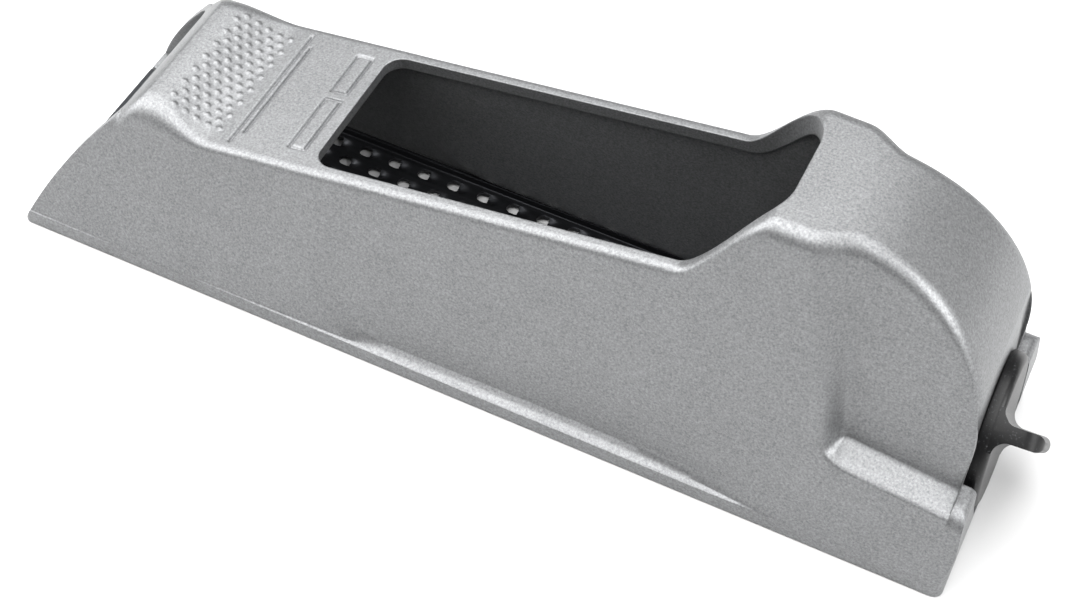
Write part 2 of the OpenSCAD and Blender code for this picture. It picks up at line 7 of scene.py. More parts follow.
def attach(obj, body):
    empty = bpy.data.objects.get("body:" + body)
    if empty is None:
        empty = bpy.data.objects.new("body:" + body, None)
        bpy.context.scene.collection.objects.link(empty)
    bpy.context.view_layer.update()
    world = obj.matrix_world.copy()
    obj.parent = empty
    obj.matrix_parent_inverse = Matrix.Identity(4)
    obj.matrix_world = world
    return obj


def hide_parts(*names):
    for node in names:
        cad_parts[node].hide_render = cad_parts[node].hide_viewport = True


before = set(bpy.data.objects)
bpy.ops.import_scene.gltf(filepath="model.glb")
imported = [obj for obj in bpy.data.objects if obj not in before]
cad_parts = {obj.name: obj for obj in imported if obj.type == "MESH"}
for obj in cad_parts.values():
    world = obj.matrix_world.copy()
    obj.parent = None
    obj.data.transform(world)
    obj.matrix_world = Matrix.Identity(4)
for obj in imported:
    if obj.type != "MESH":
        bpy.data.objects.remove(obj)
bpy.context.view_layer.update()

# ---------------------------------------------------------------- casting
# The body is one thin-walled pressure die casting in zinc alloy: toe mouth, front deck, chip opening,
# palm hump, thumb pockets and sole rails in one piece. It comes out of the die with soft corners and is
# sprayed with a silver hammered enamel, drawn darker inside as painted shade. All other pieces are held in it.

# Sizes in millimetres: x from the toe, y from the centre line, z up from the sole rails
BODY_LEN, BODY_W, WALL = 160.0, 44.0, 1.8
# Sole rail: upright edge, its thickness and the step above it, which grows in and dies out along the side
RAIL_H, RAIL_T, RAIL_STEP = 2.5, 2.0, 0.4
STEP_X, STEP_GROWTH, STEP_END, STEP_DECAY, STEP_LOST = 18.0, 80.0, 138.0, 22.0, 1.1
SIDE_Y = BODY_W / 2 - RAIL_STEP
# Deck, with the lip that turns up at the toe and falls again ahead of its crest
DECK_W, DECK_H, DECK_SLOPE, DECK_R = 30.4, 30.7, math.tan(math.radians(9.5)), 1.5
LIP_X, LIP_RUN, LIP_RISE, LIP_R, LIP_FALL = 21.0, 12.0, 4.2, 4.5, 0.2
DIP_X, NOSE_X = LIP_X + LIP_RUN, 0.8 * LIP_X
OPEN_X, OPEN_LEN, OPEN_W, OPEN_FRONT_R, OPEN_REAR_R = 50.5, 71.6, 26.0, 3.0, 8.4
# Palm hump: foot, climb, top and corner radius; crown, fullness and lower end of the heel oval
HUMP_X, HUMP_RUN, HUMP_H, HUMP_R, CROWN_X, CROWN_FULL, HEEL_Z = 109.3, 12.7, 54.1, 2.8, 128.0, 2.12, 24.0
# Heel: seat of the knob and inner face of the heel wall; wings, and the lean of their rear face
SEAT_X, HEEL_IN, WING_H, WING_R, WING_ROUND, WING_LEAN, WING_UPRIGHT = 157.0, 153.4, 16.9, 1.4, 3.6, 0.6, 9.0
# Thumb pockets: front step at the floor, depth and share of it left at the top, fall of the floor per mm
POCKET_X, POCKET_Z, POCKET_DEPTH, POCKET_TOP, FLOOR_FALL = 137.0, 17.6, 4.3, 0.6, 0.085
POCKET_LEAN, POCKET_RAMP, POCKET_SPREAD, POCKET_FILLET = 0.28, 2.6, 0.13, 2.2
# Finger hollows: length, depth, run at the front, rear and foot, and how far and how high the front bows
HOLLOW_X, HOLLOW_LEN, HOLLOW_DEPTH, HOLLOW_FRONT, HOLLOW_REAR, HOLLOW_FOOT = 50.0, 97.0, 1.3, 9.0, 46.0, 1.6
HOLLOW_BOW, BOW_TOP = 12.0, 15.0
# Toe slope as an arc seen from the side, corner radius of the sole, and the axis of the tension screw
TOE_START, TOE_R, TOE_LEAN, SOLE_R = 0.4, 98.0, math.radians(23), 1.6
SCREW_Z, SCREW_TILT = 14.8, math.radians(4)
# The frame's origin is in the middle of the length with the knob, 0.3 mm below the rails
KNOB_END, TEETH_DROP = 166.758, 0.3
TO_FRAME = np.array([-(KNOB_END + TOE_START) / 2, 0.0, TEETH_DROP])


def ease(t):
    """Smooth step: 0 up to t = 0, 1 from t = 1, and the cubic 3t^2 - 2t^3 between them."""
    c = np.clip(t, 0, 1)
    return c * c * (3 - 2 * c)


def deck_line(x):
    """The deck climbs to the heel along one straight line."""
    return DECK_H + (x - OPEN_X) * DECK_SLOPE


def crown_height(x):
    """Upper outline of the casting: the deck line, plus the eased lip at the toe and the eased hump; from
    the crown on a full-shouldered quarter oval down to the heel wall; then the level heel block."""
    deck = deck_line(np.maximum(x, LIP_X))
    front = (deck + LIP_RISE * ease((DIP_X - x) / LIP_RUN) + (HUMP_H - deck) * ease((x - HUMP_X) / HUMP_RUN)
             - LIP_FALL * np.maximum(0, LIP_X - np.maximum(x, NOSE_X)) ** 2)
    u = np.clip((x - CROWN_X) / (SEAT_X - CROWN_X), 0, 1)
    heel = HEEL_Z + (HUMP_H - HEEL_Z) * (1 - u ** CROWN_FULL) ** (1 / CROWN_FULL)
    return np.where(x > SEAT_X, WING_H, np.where(x > CROWN_X, heel, front))


def pocket_floor(x):
    """The pocket's floor falls evenly to the heel."""
    return POCKET_Z - FLOOR_FALL * np.maximum(0, x - POCKET_X)


def pocket(x, z):
    """Depth of the thumb pocket: an eased step along a line that leans forward with height and rounds into
    the floor, times an eased rise above the floor; it is shallower at the top of the hump."""
    up = z - pocket_floor(x)
    share = 1 - (1 - POCKET_TOP) * up / (HUMP_H - POCKET_Z)
    below = np.clip(POCKET_FILLET - up, 0, POCKET_FILLET)
    round_end = POCKET_FILLET - np.sqrt(np.maximum(0, POCKET_FILLET ** 2 - below ** 2))
    ramp = POCKET_RAMP + POCKET_SPREAD * np.maximum(0, up)
    step = ease((x - POCKET_X - round_end + POCKET_LEAN * up) / ramp)
    return POCKET_DEPTH * share * step * ease(up / POCKET_FILLET) * (x <= SEAT_X + 0.01)


def bow(z):
    """How far the front of the finger hollow bows back at a height: a parabola, level from its top up."""
    return HOLLOW_BOW * np.maximum(0, 1 - z / BOW_TOP) ** 2


def hollow(x, z):
    """Depth of the finger hollow: eased in at its bowed front and out at its rear, deepest near the sole."""
    rise = (z - RAIL_H) / (deck_line(x) - RAIL_H)
    return (HOLLOW_DEPTH * ease((x - HOLLOW_X - bow(z)) / HOLLOW_FRONT)
            * ease((HOLLOW_X + HOLLOW_LEN - x) / HOLLOW_REAR)
            * ease((z - RAIL_H) / HOLLOW_FOOT) * np.maximum(0, 1 - rise))


def side_plane(x, z):
    """The side leans in evenly from the sole rail to the long corner of the deck; where the step at the rail
    is lost, towards both ends, the foot of the side lies further out than the rail."""
    step = ease((x - STEP_X) / STEP_GROWTH) * ease((STEP_END - x) / STEP_DECAY)
    foot = SIDE_Y + STEP_LOST * (1 - step)
    return foot - (foot - DECK_W / 2) / deck_line(np.minimum(x, HUMP_X)) * z


def outer_half(x, z):
    """Half width outside: the leaning side less the hollow and the pocket, and the upright rail below it."""
    return np.where(z <= RAIL_H, BODY_W / 2 + RAIL_STEP, side_plane(x, z) - hollow(x, z) - pocket(x, z))


def inner_half(x, z):
    """Half width inside: a wall's thickness further in, and ahead of and below the pocket."""
    z = np.maximum(z, RAIL_H + RAIL_STEP)
    return side_plane(x, z) - hollow(x, z) - pocket(np.minimum(x + WALL, SEAT_X), z + WALL) - WALL


def inner_crown(x):
    """Height of the inside: a wall below the lowest outline within a wall's distance."""
    return np.minimum(np.minimum(crown_height(x - WALL), crown_height(x)),
                      crown_height(np.minimum(x + WALL, SEAT_X))) - WALL


def corner_radius(x):
    """Radius of the long upper corners: wide at the lip, tight along the deck, wider on the hump."""
    r = (DECK_R + (LIP_R - DECK_R) * ease((DIP_X - x) / LIP_RUN)
         + (HUMP_R - DECK_R) * ease((x - HUMP_X) / HUMP_RUN))
    return np.where(x > SEAT_X, WING_ROUND, r)


# Sections lean from 4 mm ahead of the hump's top to the heel, and bow from 16 mm ahead of the hollow
LEAN_X, LEAN_END_RUN = HUMP_X + HUMP_RUN - 4, 15.0
BOW_X, BOW_GROWTH, BOW_END, BOW_DECAY = HOLLOW_X - 16, 14.0, HOLLOW_X + 50, 35.0


def lean_share(s):
    """Share of the pocket step's lean that a section takes: eased in up to the step and out at the heel."""
    return ease((s - LEAN_X) / (POCKET_X - LEAN_X - 2)) * ease((SEAT_X - s) / LEAN_END_RUN)


def place(s, z, top):
    """Where a section runs: upright, but leaning with the pocket's step and bowed with the hollow's front."""
    share = np.clip((z - pocket_floor(s)) / (top - pocket_floor(s)), 0, 1)
    return (s + bow(z) * ease((s - BOW_X) / BOW_GROWTH) * ease((BOW_END - s) / BOW_DECAY)
            - POCKET_LEAN * (HUMP_H - POCKET_Z) * lean_share(s) * share)


# Grip pad on the lip; behind it two grooves, and two empty frames ahead of the chip opening
PIP_X, PIP_PITCH, PIP_SPACING, PIP_ROWS, PIP_COLUMNS = 24.3, 0.97, 3.17, 10, 8
PIP_W, PIP_H, PIP_FOOT, PIP_SLOPE = 1.1, 0.2, 0.12, 0.36
LINE_W, LINE_DEPTH, LINE_FOOT, LINE_SLOPE = 0.45, 0.35, 0.1, 0.22
GROOVES, FRAME_FRONT, FRAME_REAR = ((36.05, 12.9), (37.2, 10.4)), 45.4, 48.0
LINES = [(x, x, -half, half) for x, half in GROOVES]
for y0, y1 in ((-10.9, 0.7), (2.5, 11.2)):
    LINES += [(FRAME_FRONT, FRAME_FRONT, y0, y1), (FRAME_REAR, FRAME_REAR, y0, y1),
              (FRAME_FRONT, FRAME_REAR, y0, y0), (FRAME_FRONT, FRAME_REAR, y1, y1)]


def relief(x, y):
    """Height of what is cast on the deck: small diamonds in staggered rows, which fall evenly from a blunt tip
    to their foot, and shallow lines, which fall off over half their width."""
    row = np.clip(np.round((x - PIP_X) / PIP_PITCH), 0, PIP_ROWS - 1)
    shift = np.where(np.mod(row, 2) == 1, 0.5, 0.0) * PIP_SPACING
    last = np.where(np.mod(row, 2) == 1, PIP_COLUMNS / 2 - 0.5, PIP_COLUMNS / 2 - 1) * PIP_SPACING
    y_pip = np.clip(np.round((y - shift) / PIP_SPACING) * PIP_SPACING + shift, -last, last)
    away = np.abs(x - PIP_X - row * PIP_PITCH) + np.abs(y - y_pip)
    up = PIP_H * ease((PIP_W / 2 + PIP_FOOT - away) / PIP_SLOPE)
    down = np.zeros_like(x)
    for x0, x1, y0, y1 in LINES:
        away = np.hypot(x - np.clip(x, x0, x1), y - np.clip(y, y0, y1))
        down = np.maximum(down, LINE_DEPTH * ease((LINE_W / 2 + LINE_FOOT - away) / LINE_SLOPE))
    return up - down


def spread(*stops):
    """Places from one stop to the next: (start, steps), (start, steps), ..., end."""
    ends = [s[0] for s in stops[1:-1]] + [stops[-1]]
    return np.concatenate([np.linspace(s[0], e, s[1], endpoint=False) for s, e in zip(stops[:-1], ends)])


def rows(a, b, n):
    """n + 1 even steps from each row's a to its b."""
    return a + (b - a) * np.linspace(0, 1, n + 1)[None, :]


def ring_mesh(name, x, y, z, material):
    """Closed skin from rings of points: quads between the rings and one cap at each end."""
    n, m = x.shape
    co = np.stack([x, y, z], -1).reshape(-1, 3)
    i, j = np.meshgrid(np.arange(n - 1), np.arange(m), indexing="ij")
    a, b = (i * m + j).ravel(), (i * m + (j + 1) % m).ravel()
    quads = np.stack([a, b, b + m, a + m], 1)
    caps = [list(range(m - 1, -1, -1)), list(range((n - 1) * m, n * m))]
    return solid(name, co, quads.tolist() + caps, material)


def solid(name, co, faces, material):
    """An object from points in tool millimetres and faces."""
    mesh = bpy.data.meshes.new(name)
    mesh.from_pydata(((np.asarray(co, float) + TO_FRAME) / 1000).tolist(), [], faces)
    mesh.materials.append(material)
    mesh.validate()
    obj = bpy.data.objects.new(name, mesh)
    bpy.context.scene.collection.objects.link(obj)
    return obj


PAST = 1.0  # how far a skin or a cutter runs past what trims it


def outer_rings():
    """Rings of the outside, one for each place along the tool: up one side, round the long corner, across
    the deck and down the other side. They lie closer at the lip, the pips, the lines, the hump and the heel,
    and their levels at the rail and over the pocket's fillet, but never above the shoulder of the section."""
    s = np.append(spread((-PAST, 1), (NOSE_X, 4), (0.87 * LIP_X, 14), (LIP_X, 76), (36.0, 14), (38.6, 6),
                         (44.6, 24), (49.0, 4), (OPEN_X, 20), (70.0, 16), (HUMP_X, 22), (HUMP_X + HUMP_RUN, 12),
                         (POCKET_X - 1, 22), (POCKET_X + 5)),
                  np.append(POCKET_X + 5 + (SEAT_X - POCKET_X - 5) * np.sin(np.linspace(0, np.pi / 2, 36)),
                            [SEAT_X + 0.02, SEAT_X + 2, BODY_LEN + PAST]))[:, None]
    xt = s - POCKET_LEAN * (HUMP_H - POCKET_Z) * lean_share(s)
    top, r = crown_height(xt), corner_radius(xt)
    shoulder, floor = top - r, pocket_floor(s)
    low = np.tile([[0, 1.2, RAIL_H, 2.9, 3.3, 3.8, 4.6, 6, 7.6, 9.2, 10.8, 12.4]], (len(s), 1))
    level = np.arange(8)
    edge = np.minimum(floor + POCKET_FILLET / 7 * level, shoulder - 0.05 * (16 - level))
    flank = rows(edge[:, -1:], shoulder, 14)[:, 1:-1]
    z = np.concatenate([low, edge, flank], 1)
    x = place(s, z, top)
    y = outer_half(x, z)
    a = np.linspace(0, np.pi / 2, 9)[None, :]
    zc = shoulder + r * np.sin(a)
    xc = place(s, zc, top)
    yc = outer_half(place(s, shoulder, top), shoulder) - r + r * np.cos(a)
    yd = yc[:, -1:] * np.linspace(1, -1, 141)[None, 1:-1]
    xd = np.repeat(xc[:, -1:], yd.shape[1], 1)
    zd = np.repeat(zc[:, -1:], yd.shape[1], 1) + relief(xd, yd)
    half_x, half_y, half_z = np.concatenate([x, xc], 1), np.concatenate([y, yc], 1), np.concatenate([z, zc], 1)
    return (np.concatenate([half_x, xd, half_x[:, ::-1]], 1), np.concatenate([half_y, yd, -half_y[:, ::-1]], 1),
            np.concatenate([half_z, zd, half_z[:, ::-1]], 1))


def inner_rings():
    """Rings of the cavity, made like those of the outside with smaller corners; they stop at the heel wall."""
    s = np.append(spread((-6.0, 3), (LIP_X, 12), (DIP_X, 8), (46.0, 24), (76.0, 10), (HUMP_X, 14),
                         (HUMP_X + HUMP_RUN + 4, 12), (139.0, 12), HEEL_IN), HEEL_IN)[:, None]
    top = inner_crown(s)
    r = np.maximum(0.8, corner_radius(s) - WALL / 2)
    shoulder, floor = top - r, pocket_floor(s) - WALL
    low = np.tile([[-PAST, RAIL_H + RAIL_STEP, 3.6, 4.6, 6.5, 9, 12]], (len(s), 1))
    level = np.arange(5)
    edge = np.minimum(floor + 0.3 * level, shoulder - 0.05 * (12 - level))
    flank = rows(edge[:, -1:], shoulder, 8)[:, 1:-1]
    z = np.concatenate([low, edge, flank], 1)
    y = inner_half(s + 0 * z, z)
    a = np.linspace(0, np.pi / 2, 5)[None, :]
    zc = shoulder + r * np.sin(a)
    yc = inner_half(s, shoulder) - r + r * np.cos(a)
    half_y, half_z = np.concatenate([y, yc], 1), np.concatenate([z, zc], 1)
    x = np.repeat(s, 2 * half_y.shape[1], 1)
    return x, np.concatenate([half_y, -half_y[:, ::-1]], 1), np.concatenate([half_z, half_z[:, ::-1]], 1)


def prism_faces(n, flipped=False):
    """Faces of a straight solid with n points at its low end and then n at its high end."""
    i = np.arange(n)
    sides = np.stack([i, (i + 1) % n, n + (i + 1) % n, n + i], 1)
    faces = sides.tolist() + [i[::-1].tolist(), (n + i).tolist()]
    return [f[::-1] for f in faces] if flipped else faces


def prism(name, outline, low, high, axis, material):
    """Straight solid on a closed outline: axis "y" takes (x, z) points, axis "z" takes (x, y) points."""
    p = np.asarray(outline, float)
    ends = np.concatenate([np.full(len(p), low), np.full(len(p), high)])
    u, v = np.tile(p[:, 0], 2), np.tile(p[:, 1], 2)
    co = np.stack([u, ends, v] if axis == "y" else [u, v, ends], 1)
    return solid(name, co, prism_faces(len(p), axis == "y"), material)


def arc(cx, cy, r, a0, a1, n):
    """Points on a circle between two angles in degrees."""
    a = np.radians(np.linspace(a0, a1, n))
    return np.stack([cx + r * np.cos(a), cy + r * np.sin(a)], 1)


def rounded(x0, x1, half, r0, r1, n=16):
    """Rectangle across the centre line with one corner radius at each end."""
    return np.concatenate([arc(x0 + r0, -half + r0, r0, 180, 270, n), arc(x1 - r1, -half + r1, r1, 270, 360, n),
                           arc(x1 - r1, half - r1, r1, 0, 90, n), arc(x0 + r0, half - r0, r0, 90, 180, n)])


def along_screw(points):
    """Points given along the screw from the knob seat, across, and up, turned into tool millimetres."""
    p = np.asarray(points, float)
    c, s = math.cos(SCREW_TILT), math.sin(SCREW_TILT)
    return np.stack([SEAT_X + p[:, 0] * c - p[:, 2] * s, p[:, 1], SCREW_Z + p[:, 0] * s + p[:, 2] * c], 1)


def screw_prism(name, outline, low, high, material):
    """Straight solid along the screw on an outline of (across, up) points."""
    p = np.asarray(outline, float)
    co = along_screw(np.concatenate([np.insert(p, 0, low, 1), np.insert(p, 0, high, 1)]))
    return solid(name, co, prism_faces(len(p)), material)


def ring(r, n=64, start=0):
    """Full circle of n points round the screw's axis."""
    return arc(0, 0, r, start, start + 360, n + 1)[:-1]


def joined(obj, cutter, how):
    """Adds, cuts away or keeps what the cutter covers, and drops the cutter."""
    mod = obj.modifiers.new("cut", "BOOLEAN")
    mod.object, mod.operation, mod.solver = cutter, how, "MANIFOLD"
    mesh = bpy.data.meshes.new_from_object(obj.evaluated_get(bpy.context.evaluated_depsgraph_get()))
    obj.modifiers.clear()
    old, obj.data = obj.data, mesh
    bpy.data.meshes.remove(old)
    bpy.data.objects.remove(cutter)


def linear(hexcode):
    """sRGB hex colour to linear RGB with alpha."""
    c = np.array([int(hexcode[i:i + 2], 16) / 255 for i in (1, 3, 5)])
    return tuple(np.where(c <= 0.04045, c / 12.92, ((c + 0.055) / 1.055) ** 2.4)) + (1.0,)


def node(tree, kind, settings=None, links=None):
    """Adds a node, sets its inputs (by name or number) and its properties, and links its inputs."""
    made = tree.nodes.new(kind)
    for key, value in (settings or {}).items():
        if isinstance(key, int) or key in made.inputs:
            made.inputs[key].default_value = value
        else:
            setattr(made, key, value)
    for key, source in (links or {}).items():
        tree.links.new(source, made.inputs[key])
    return made


def fresh(name):
    """An empty node material with its output and shader linked."""
    mat = bpy.data.materials.new(name)
    mat.use_nodes = True
    tree = mat.node_tree
    tree.nodes.clear()
    shader = node(tree, "ShaderNodeBsdfPrincipled")
    node(tree, "ShaderNodeOutputMaterial", links={"Surface": shader.outputs[0]})
    return mat, tree, shader


MM = 0.001  # a millimetre in the frame's metres


def per_metre(size):
    """Scale of a pattern: how many of its features, of a real size in millimetres, go into a metre."""
    return 1 / (size * MM)


MOUTH_LIGHT_FROM, MOUTH_LIGHT_FULL = -62 * MM, -78 * MM  # frame x over which painted light near the toe mouth lifts the painted shade of the inside


def hammered_enamel(name, light, dark, rough, flake, mouth=0.0):
    """Sprayed aluminium enamel: a leafing pigment that looks like grains of metal 0.4 mm across under a thin
    clear film, with soft orange peel 1.6 mm across. Near the toe mouth its colour is blended, by the share mouth,
    towards the outer enamel's colour: painted light where light reaches into the cavity."""
    mat, tree, shader = fresh(name)
    where = node(tree, "ShaderNodeTexCoord").outputs["Object"]
    grain = node(tree, "ShaderNodeTexNoise", {"Scale": per_metre(0.3704), "Detail": 4.0, "Roughness": 0.75},
                 {"Vector": where})
    cloud = node(tree, "ShaderNodeTexNoise", {"Scale": per_metre(7.692), "Detail": 4.0}, {"Vector": where})
    peel = node(tree, "ShaderNodeTexNoise", {"Scale": per_metre(1.613), "Detail": 1.0}, {"Vector": where})
    clouded = node(tree, "ShaderNodeMath", {"operation": "MULTIPLY", 1: 0.08}, {0: cloud.outputs["Fac"]})
    tone = node(tree, "ShaderNodeMath", {"operation": "MULTIPLY_ADD", 1: 0.92},
                {0: grain.outputs["Fac"], 2: clouded.outputs[0]})
    ramp = node(tree, "ShaderNodeValToRGB", links={"Fac": tone.outputs[0]})
    for stop, at, colour in zip(ramp.color_ramp.elements, (0.34, 0.66), (dark, light)):
        stop.position, stop.color = at, linear(colour)
    # Painted light at the toe mouth: from 22 mm to 6 mm behind the toe the colour is blended towards the outer
    # enamel's, up to the share mouth
    ahead = node(tree, "ShaderNodeSeparateXYZ", links={0: where}).outputs["X"]
    mouth_light = node(tree, "ShaderNodeMapRange", {"From Min": MOUTH_LIGHT_FROM, "From Max": MOUTH_LIGHT_FULL, "To Max": mouth},
                   {"Value": ahead})
    coat = node(tree, "ShaderNodeMix", {"data_type": "RGBA", 7: linear("#8a8b8c")},
                {0: mouth_light.outputs[0], 6: ramp.outputs["Color"]})
    tree.links.new(coat.outputs[2], shader.inputs["Base Color"])
    rounded_edge = node(tree, "ShaderNodeBevel", {"samples": 6, "Radius": 0.32 * MM})
    soft = node(tree, "ShaderNodeBump", {"Strength": 0.25, "Distance": 0.06 * MM},
                {"Height": peel.outputs["Fac"], "Normal": rounded_edge.outputs[0]})
    bump = node(tree, "ShaderNodeBump", {"Strength": flake, "Distance": 0.03 * MM},
                {"Height": grain.outputs["Fac"], "Normal": soft.outputs[0]})
    tree.links.new(bump.outputs[0], shader.inputs["Normal"])
    shader.inputs["Metallic"].default_value = 0.75
    shader.inputs["Roughness"].default_value = rough
    return mat


# Outside, the full coat; inside, the same enamel in darker colours: painted shade of the cavity, lifted near the
# toe mouth
paint_outside = hammered_enamel("hammered silver enamel", "#8a8b8c", "#626364", 0.44, 0.45)
enamel_with_painted_shade = hammered_enamel("enamel darkened with painted shade inside the casting", "#3c3d3d", "#262627", 0.62, 0.5, mouth=0.9)

# The skin, trimmed from the side to the toe slope, the sole and the rear face, and from above to the plan
casting = ring_mesh("casting", *outer_rings(), paint_outside)
ABOVE, BELOW, ASIDE, AHEAD = 70.0, -2.0, 40.0, -7.0  # well clear of the casting
PLAN_TOP, RECESS_TOP, RECESS_END = 80.0, 60.0, 12.0  # clear of it too: the trim to the plan, and the recess
INSIDE = 15.0  # a height within the cavity
slope = arc(TOE_START + TOE_R * math.cos(TOE_LEAN), -TOE_R * math.sin(TOE_LEAN), TOE_R, 180, 130, 120)
slope = slope[(slope[:, 1] > BELOW) & (slope[:, 0] < DIP_X)]
rear = BODY_LEN - WING_LEAN
side_view = np.concatenate([slope[::-1], [[TOE_START, BELOW], [BODY_LEN, BELOW], [BODY_LEN, WING_UPRIGHT]],
                            arc(rear - WING_R, WING_H - WING_R, WING_R, 0, 85, 12),
                            [[rear - WING_R, WING_H + 0.2], [rear - WING_R, ABOVE], [DIP_X, ABOVE]]])
joined(casting, prism("side view", side_view, -ASIDE, ASIDE, "y", paint_outside), "INTERSECT")
plan = rounded(0, BODY_LEN, BODY_W / 2, SOLE_R, SOLE_R)
joined(casting, prism("plan", plan, -PAST, PLAN_TOP, "z", paint_outside), "INTERSECT")

# Room for the knob in the heel, open at the top, and the counterbore for its washer
RECESS_R, WASHER_SEAT_R, WASHER_SEAT_DEPTH = 13.2, 8.2, 0.85
recess = np.concatenate([arc(0, 0, RECESS_R, 180, 360, 49), [[RECESS_R, RECESS_TOP], [-RECESS_R, RECESS_TOP]]])
seat = screw_prism("knob recess", recess, 0, RECESS_END, paint_outside)
joined(seat, screw_prism("washer seat", ring(WASHER_SEAT_R), -WASHER_SEAT_DEPTH, PAST, paint_outside), "UNION")
joined(casting, seat, "DIFFERENCE")

# What stays in the cavity is cut out of it first: toe corners, toe bar, guide ribs and the boss of the screw
# The cavity's faces take the darker enamel, which paints the shade inside the casting
cavity = ring_mesh("cavity", *inner_rings(), enamel_with_painted_shade)
BLADE_X, BLADE_T, STRIP_Z, FACE_GAP = 1.6, 0.65, 0.5, 0.05
STRIP_TOP = STRIP_Z + BLADE_T
BAR_X, BAR_LEN, BAR_TOP, MOUTH_HALF, CORNER_TOP = BLADE_X + BLADE_T + FACE_GAP, 3.0, 2.85, 15.8, 3.0
CHANNEL_HALF, CHANNEL_END, CHANNEL_TOP, CHANNEL_FROM = BODY_W / 2 - RAIL_T, 142.9, 2.75, -1.5
LUG_DROP, LUG_T, LUG_GAP = 5.4, 2.4, 0.2
RIB_T, RIB_IN, RIB_OUT, RIB_FROM, RIB_TO = 1.3, 13.8, 20.5, -32.3, -2.2
BOSS_R, BOSS_FROM, BOSS_TO, HOLE_R, HOLE_FROM, HOLE_TO = 6.1, -4.4, -2.6, 2.6, -6.3, 1.3
bar_end = BAR_X + BAR_LEN
for side in (-1, 1):
    inner, outer = side * MOUTH_HALF, side * BODY_W / 2
    corner = [[AHEAD, inner], [bar_end, inner], [bar_end, outer], [AHEAD, outer]]
    joined(cavity, prism("toe corner", corner[::side], BELOW, CORNER_TOP, "z", paint_outside), "DIFFERENCE")
channel = [[bar_end, -CHANNEL_HALF], [CHANNEL_END, -CHANNEL_HALF], [CHANNEL_END, CHANNEL_HALF],
           [bar_end, CHANNEL_HALF]]
joined(cavity, prism("channel", channel, CHANNEL_FROM, CHANNEL_TOP, "z", enamel_with_painted_shade), "UNION")
reach, past_end = MOUTH_HALF + 0.5, bar_end + 0.1
toe_bar = [[BAR_X, -reach], [past_end, -reach], [past_end, reach], [BAR_X, reach]]
joined(cavity, prism("toe bar", toe_bar, STRIP_TOP + FACE_GAP, BAR_TOP, "z", paint_outside), "DIFFERENCE")
for side in (-1, 1):
    for low in (-LUG_DROP - LUG_T / 2 - LUG_GAP - RIB_T, -LUG_DROP + LUG_T / 2 + LUG_GAP):
        rib = [[side * RIB_IN, low], [side * RIB_OUT, low], [side * RIB_OUT, low + RIB_T],
               [side * RIB_IN, low + RIB_T]]
        joined(cavity, screw_prism("guide rib", rib[::side], RIB_FROM, RIB_TO, enamel_with_painted_shade), "DIFFERENCE")
joined(cavity, screw_prism("boss", ring(BOSS_R), BOSS_FROM, BOSS_TO, enamel_with_painted_shade), "DIFFERENCE")
# The hole's points are turned by 4 degrees, so that none lies on a line with the boss's
joined(cavity, screw_prism("screw hole", ring(HOLE_R, 48, 4), HOLE_FROM, HOLE_TO, enamel_with_painted_shade), "UNION")
joined(cavity, prism("chip opening", rounded(OPEN_X, OPEN_X + OPEN_LEN, OPEN_W / 2, OPEN_FRONT_R, OPEN_REAR_R, 24),
                     INSIDE, ABOVE, "z", paint_outside), "UNION")
joined(casting, cavity, "DIFFERENCE")
SHARP = math.radians(32)  # edges that turn by more than this stay sharp
casting.data.shade_smooth()
casting.data.set_sharp_from_angle(angle=SHARP)
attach(casting, "plane")
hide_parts("body")

# ---------------------------------------------------------------- rasp blade
# Hardened steel strip, pierced and pressed in one stroke so that each hole has a cutting tooth behind it,
# then blackened in oil. It lies in the channel of the casting, hung on the toe bar and on the hook.


def oil_blacked_steel(name, base, bare, rough):
    """Hardened steel blackened in oil: a matt blue-black skin with faint rolling lines along the strip, worn
    to bright metal where it touches the work, on the lowest 0.4 mm of the teeth."""
    mat, tree, shader = fresh(name)
    where = node(tree, "ShaderNodeTexCoord").outputs["Object"]
    along = node(tree, "ShaderNodeMapping", {"Scale": (0.05, 1.0, 1.0)}, {"Vector": where}).outputs[0]
    lines = node(tree, "ShaderNodeTexNoise", {"Scale": per_metre(1.111), "Detail": 3.0}, {"Vector": along})
    height = node(tree, "ShaderNodeSeparateXYZ", links={0: where}).outputs["Z"]
    worn = node(tree, "ShaderNodeMapRange", {"From Min": 0.4 * MM, "From Max": 0.1 * MM}, {"Value": height})
    skin = node(tree, "ShaderNodeMix", {"data_type": "RGBA", 6: linear(base), 7: linear("#3a3b3e")},
                {0: lines.outputs["Fac"]})
    tint = node(tree, "ShaderNodeMix", {"data_type": "RGBA", 7: linear(bare)},
                {0: worn.outputs[0], 6: skin.outputs[2]})
    tree.links.new(tint.outputs[2], shader.inputs["Base Color"])
    bump = node(tree, "ShaderNodeBump", {"Strength": 0.15, "Distance": 0.02 * MM}, {"Height": lines.outputs["Fac"]})
    tree.links.new(bump.outputs[0], shader.inputs["Normal"])
    shader.inputs["Metallic"].default_value = 0.85
    shader.inputs["Roughness"].default_value = rough
    return mat


# Strip: inner face of its heel end, half width, top of the flanges, bend, ends of the flanged part, and the
# half widths and tops of its two turned-up ends
BLADE_END, BLADE_HALF, FLANGE_TOP, BEND_R = 140.65, CHANNEL_HALF - 0.3, 2.45, 0.9
STRIP_FROM, STRIP_TO, TOE_TAB, TOE_TAB_TOP, HEEL_TAB, HEEL_TAB_TOP = 5.8, 134.65, 15.4, 2.85, 11.0, 7.15
# Teeth: their spacing along a row, the rows' spacing and shift, rows on each side of the middle, first throat
TOOTH_PITCH, ROW_PITCH, ROW_SHIFT, SIDE_ROWS, TOOTH_X, TEETH = 5.6, 3.4, 2.1, 5, 12.0, 21
TOOTH_H, TOOTH_W, THROAT, TOOTH_RAMP, TOOTH_BELL = 0.8, 2.3, 1.9, 2.3, 1.25


def row_start(row):
    """Where the first throat of a row begins: the shifts are counted from a row numbered -20."""
    return TOOTH_X + np.mod((row + 20) * ROW_SHIFT, TOOTH_PITCH)


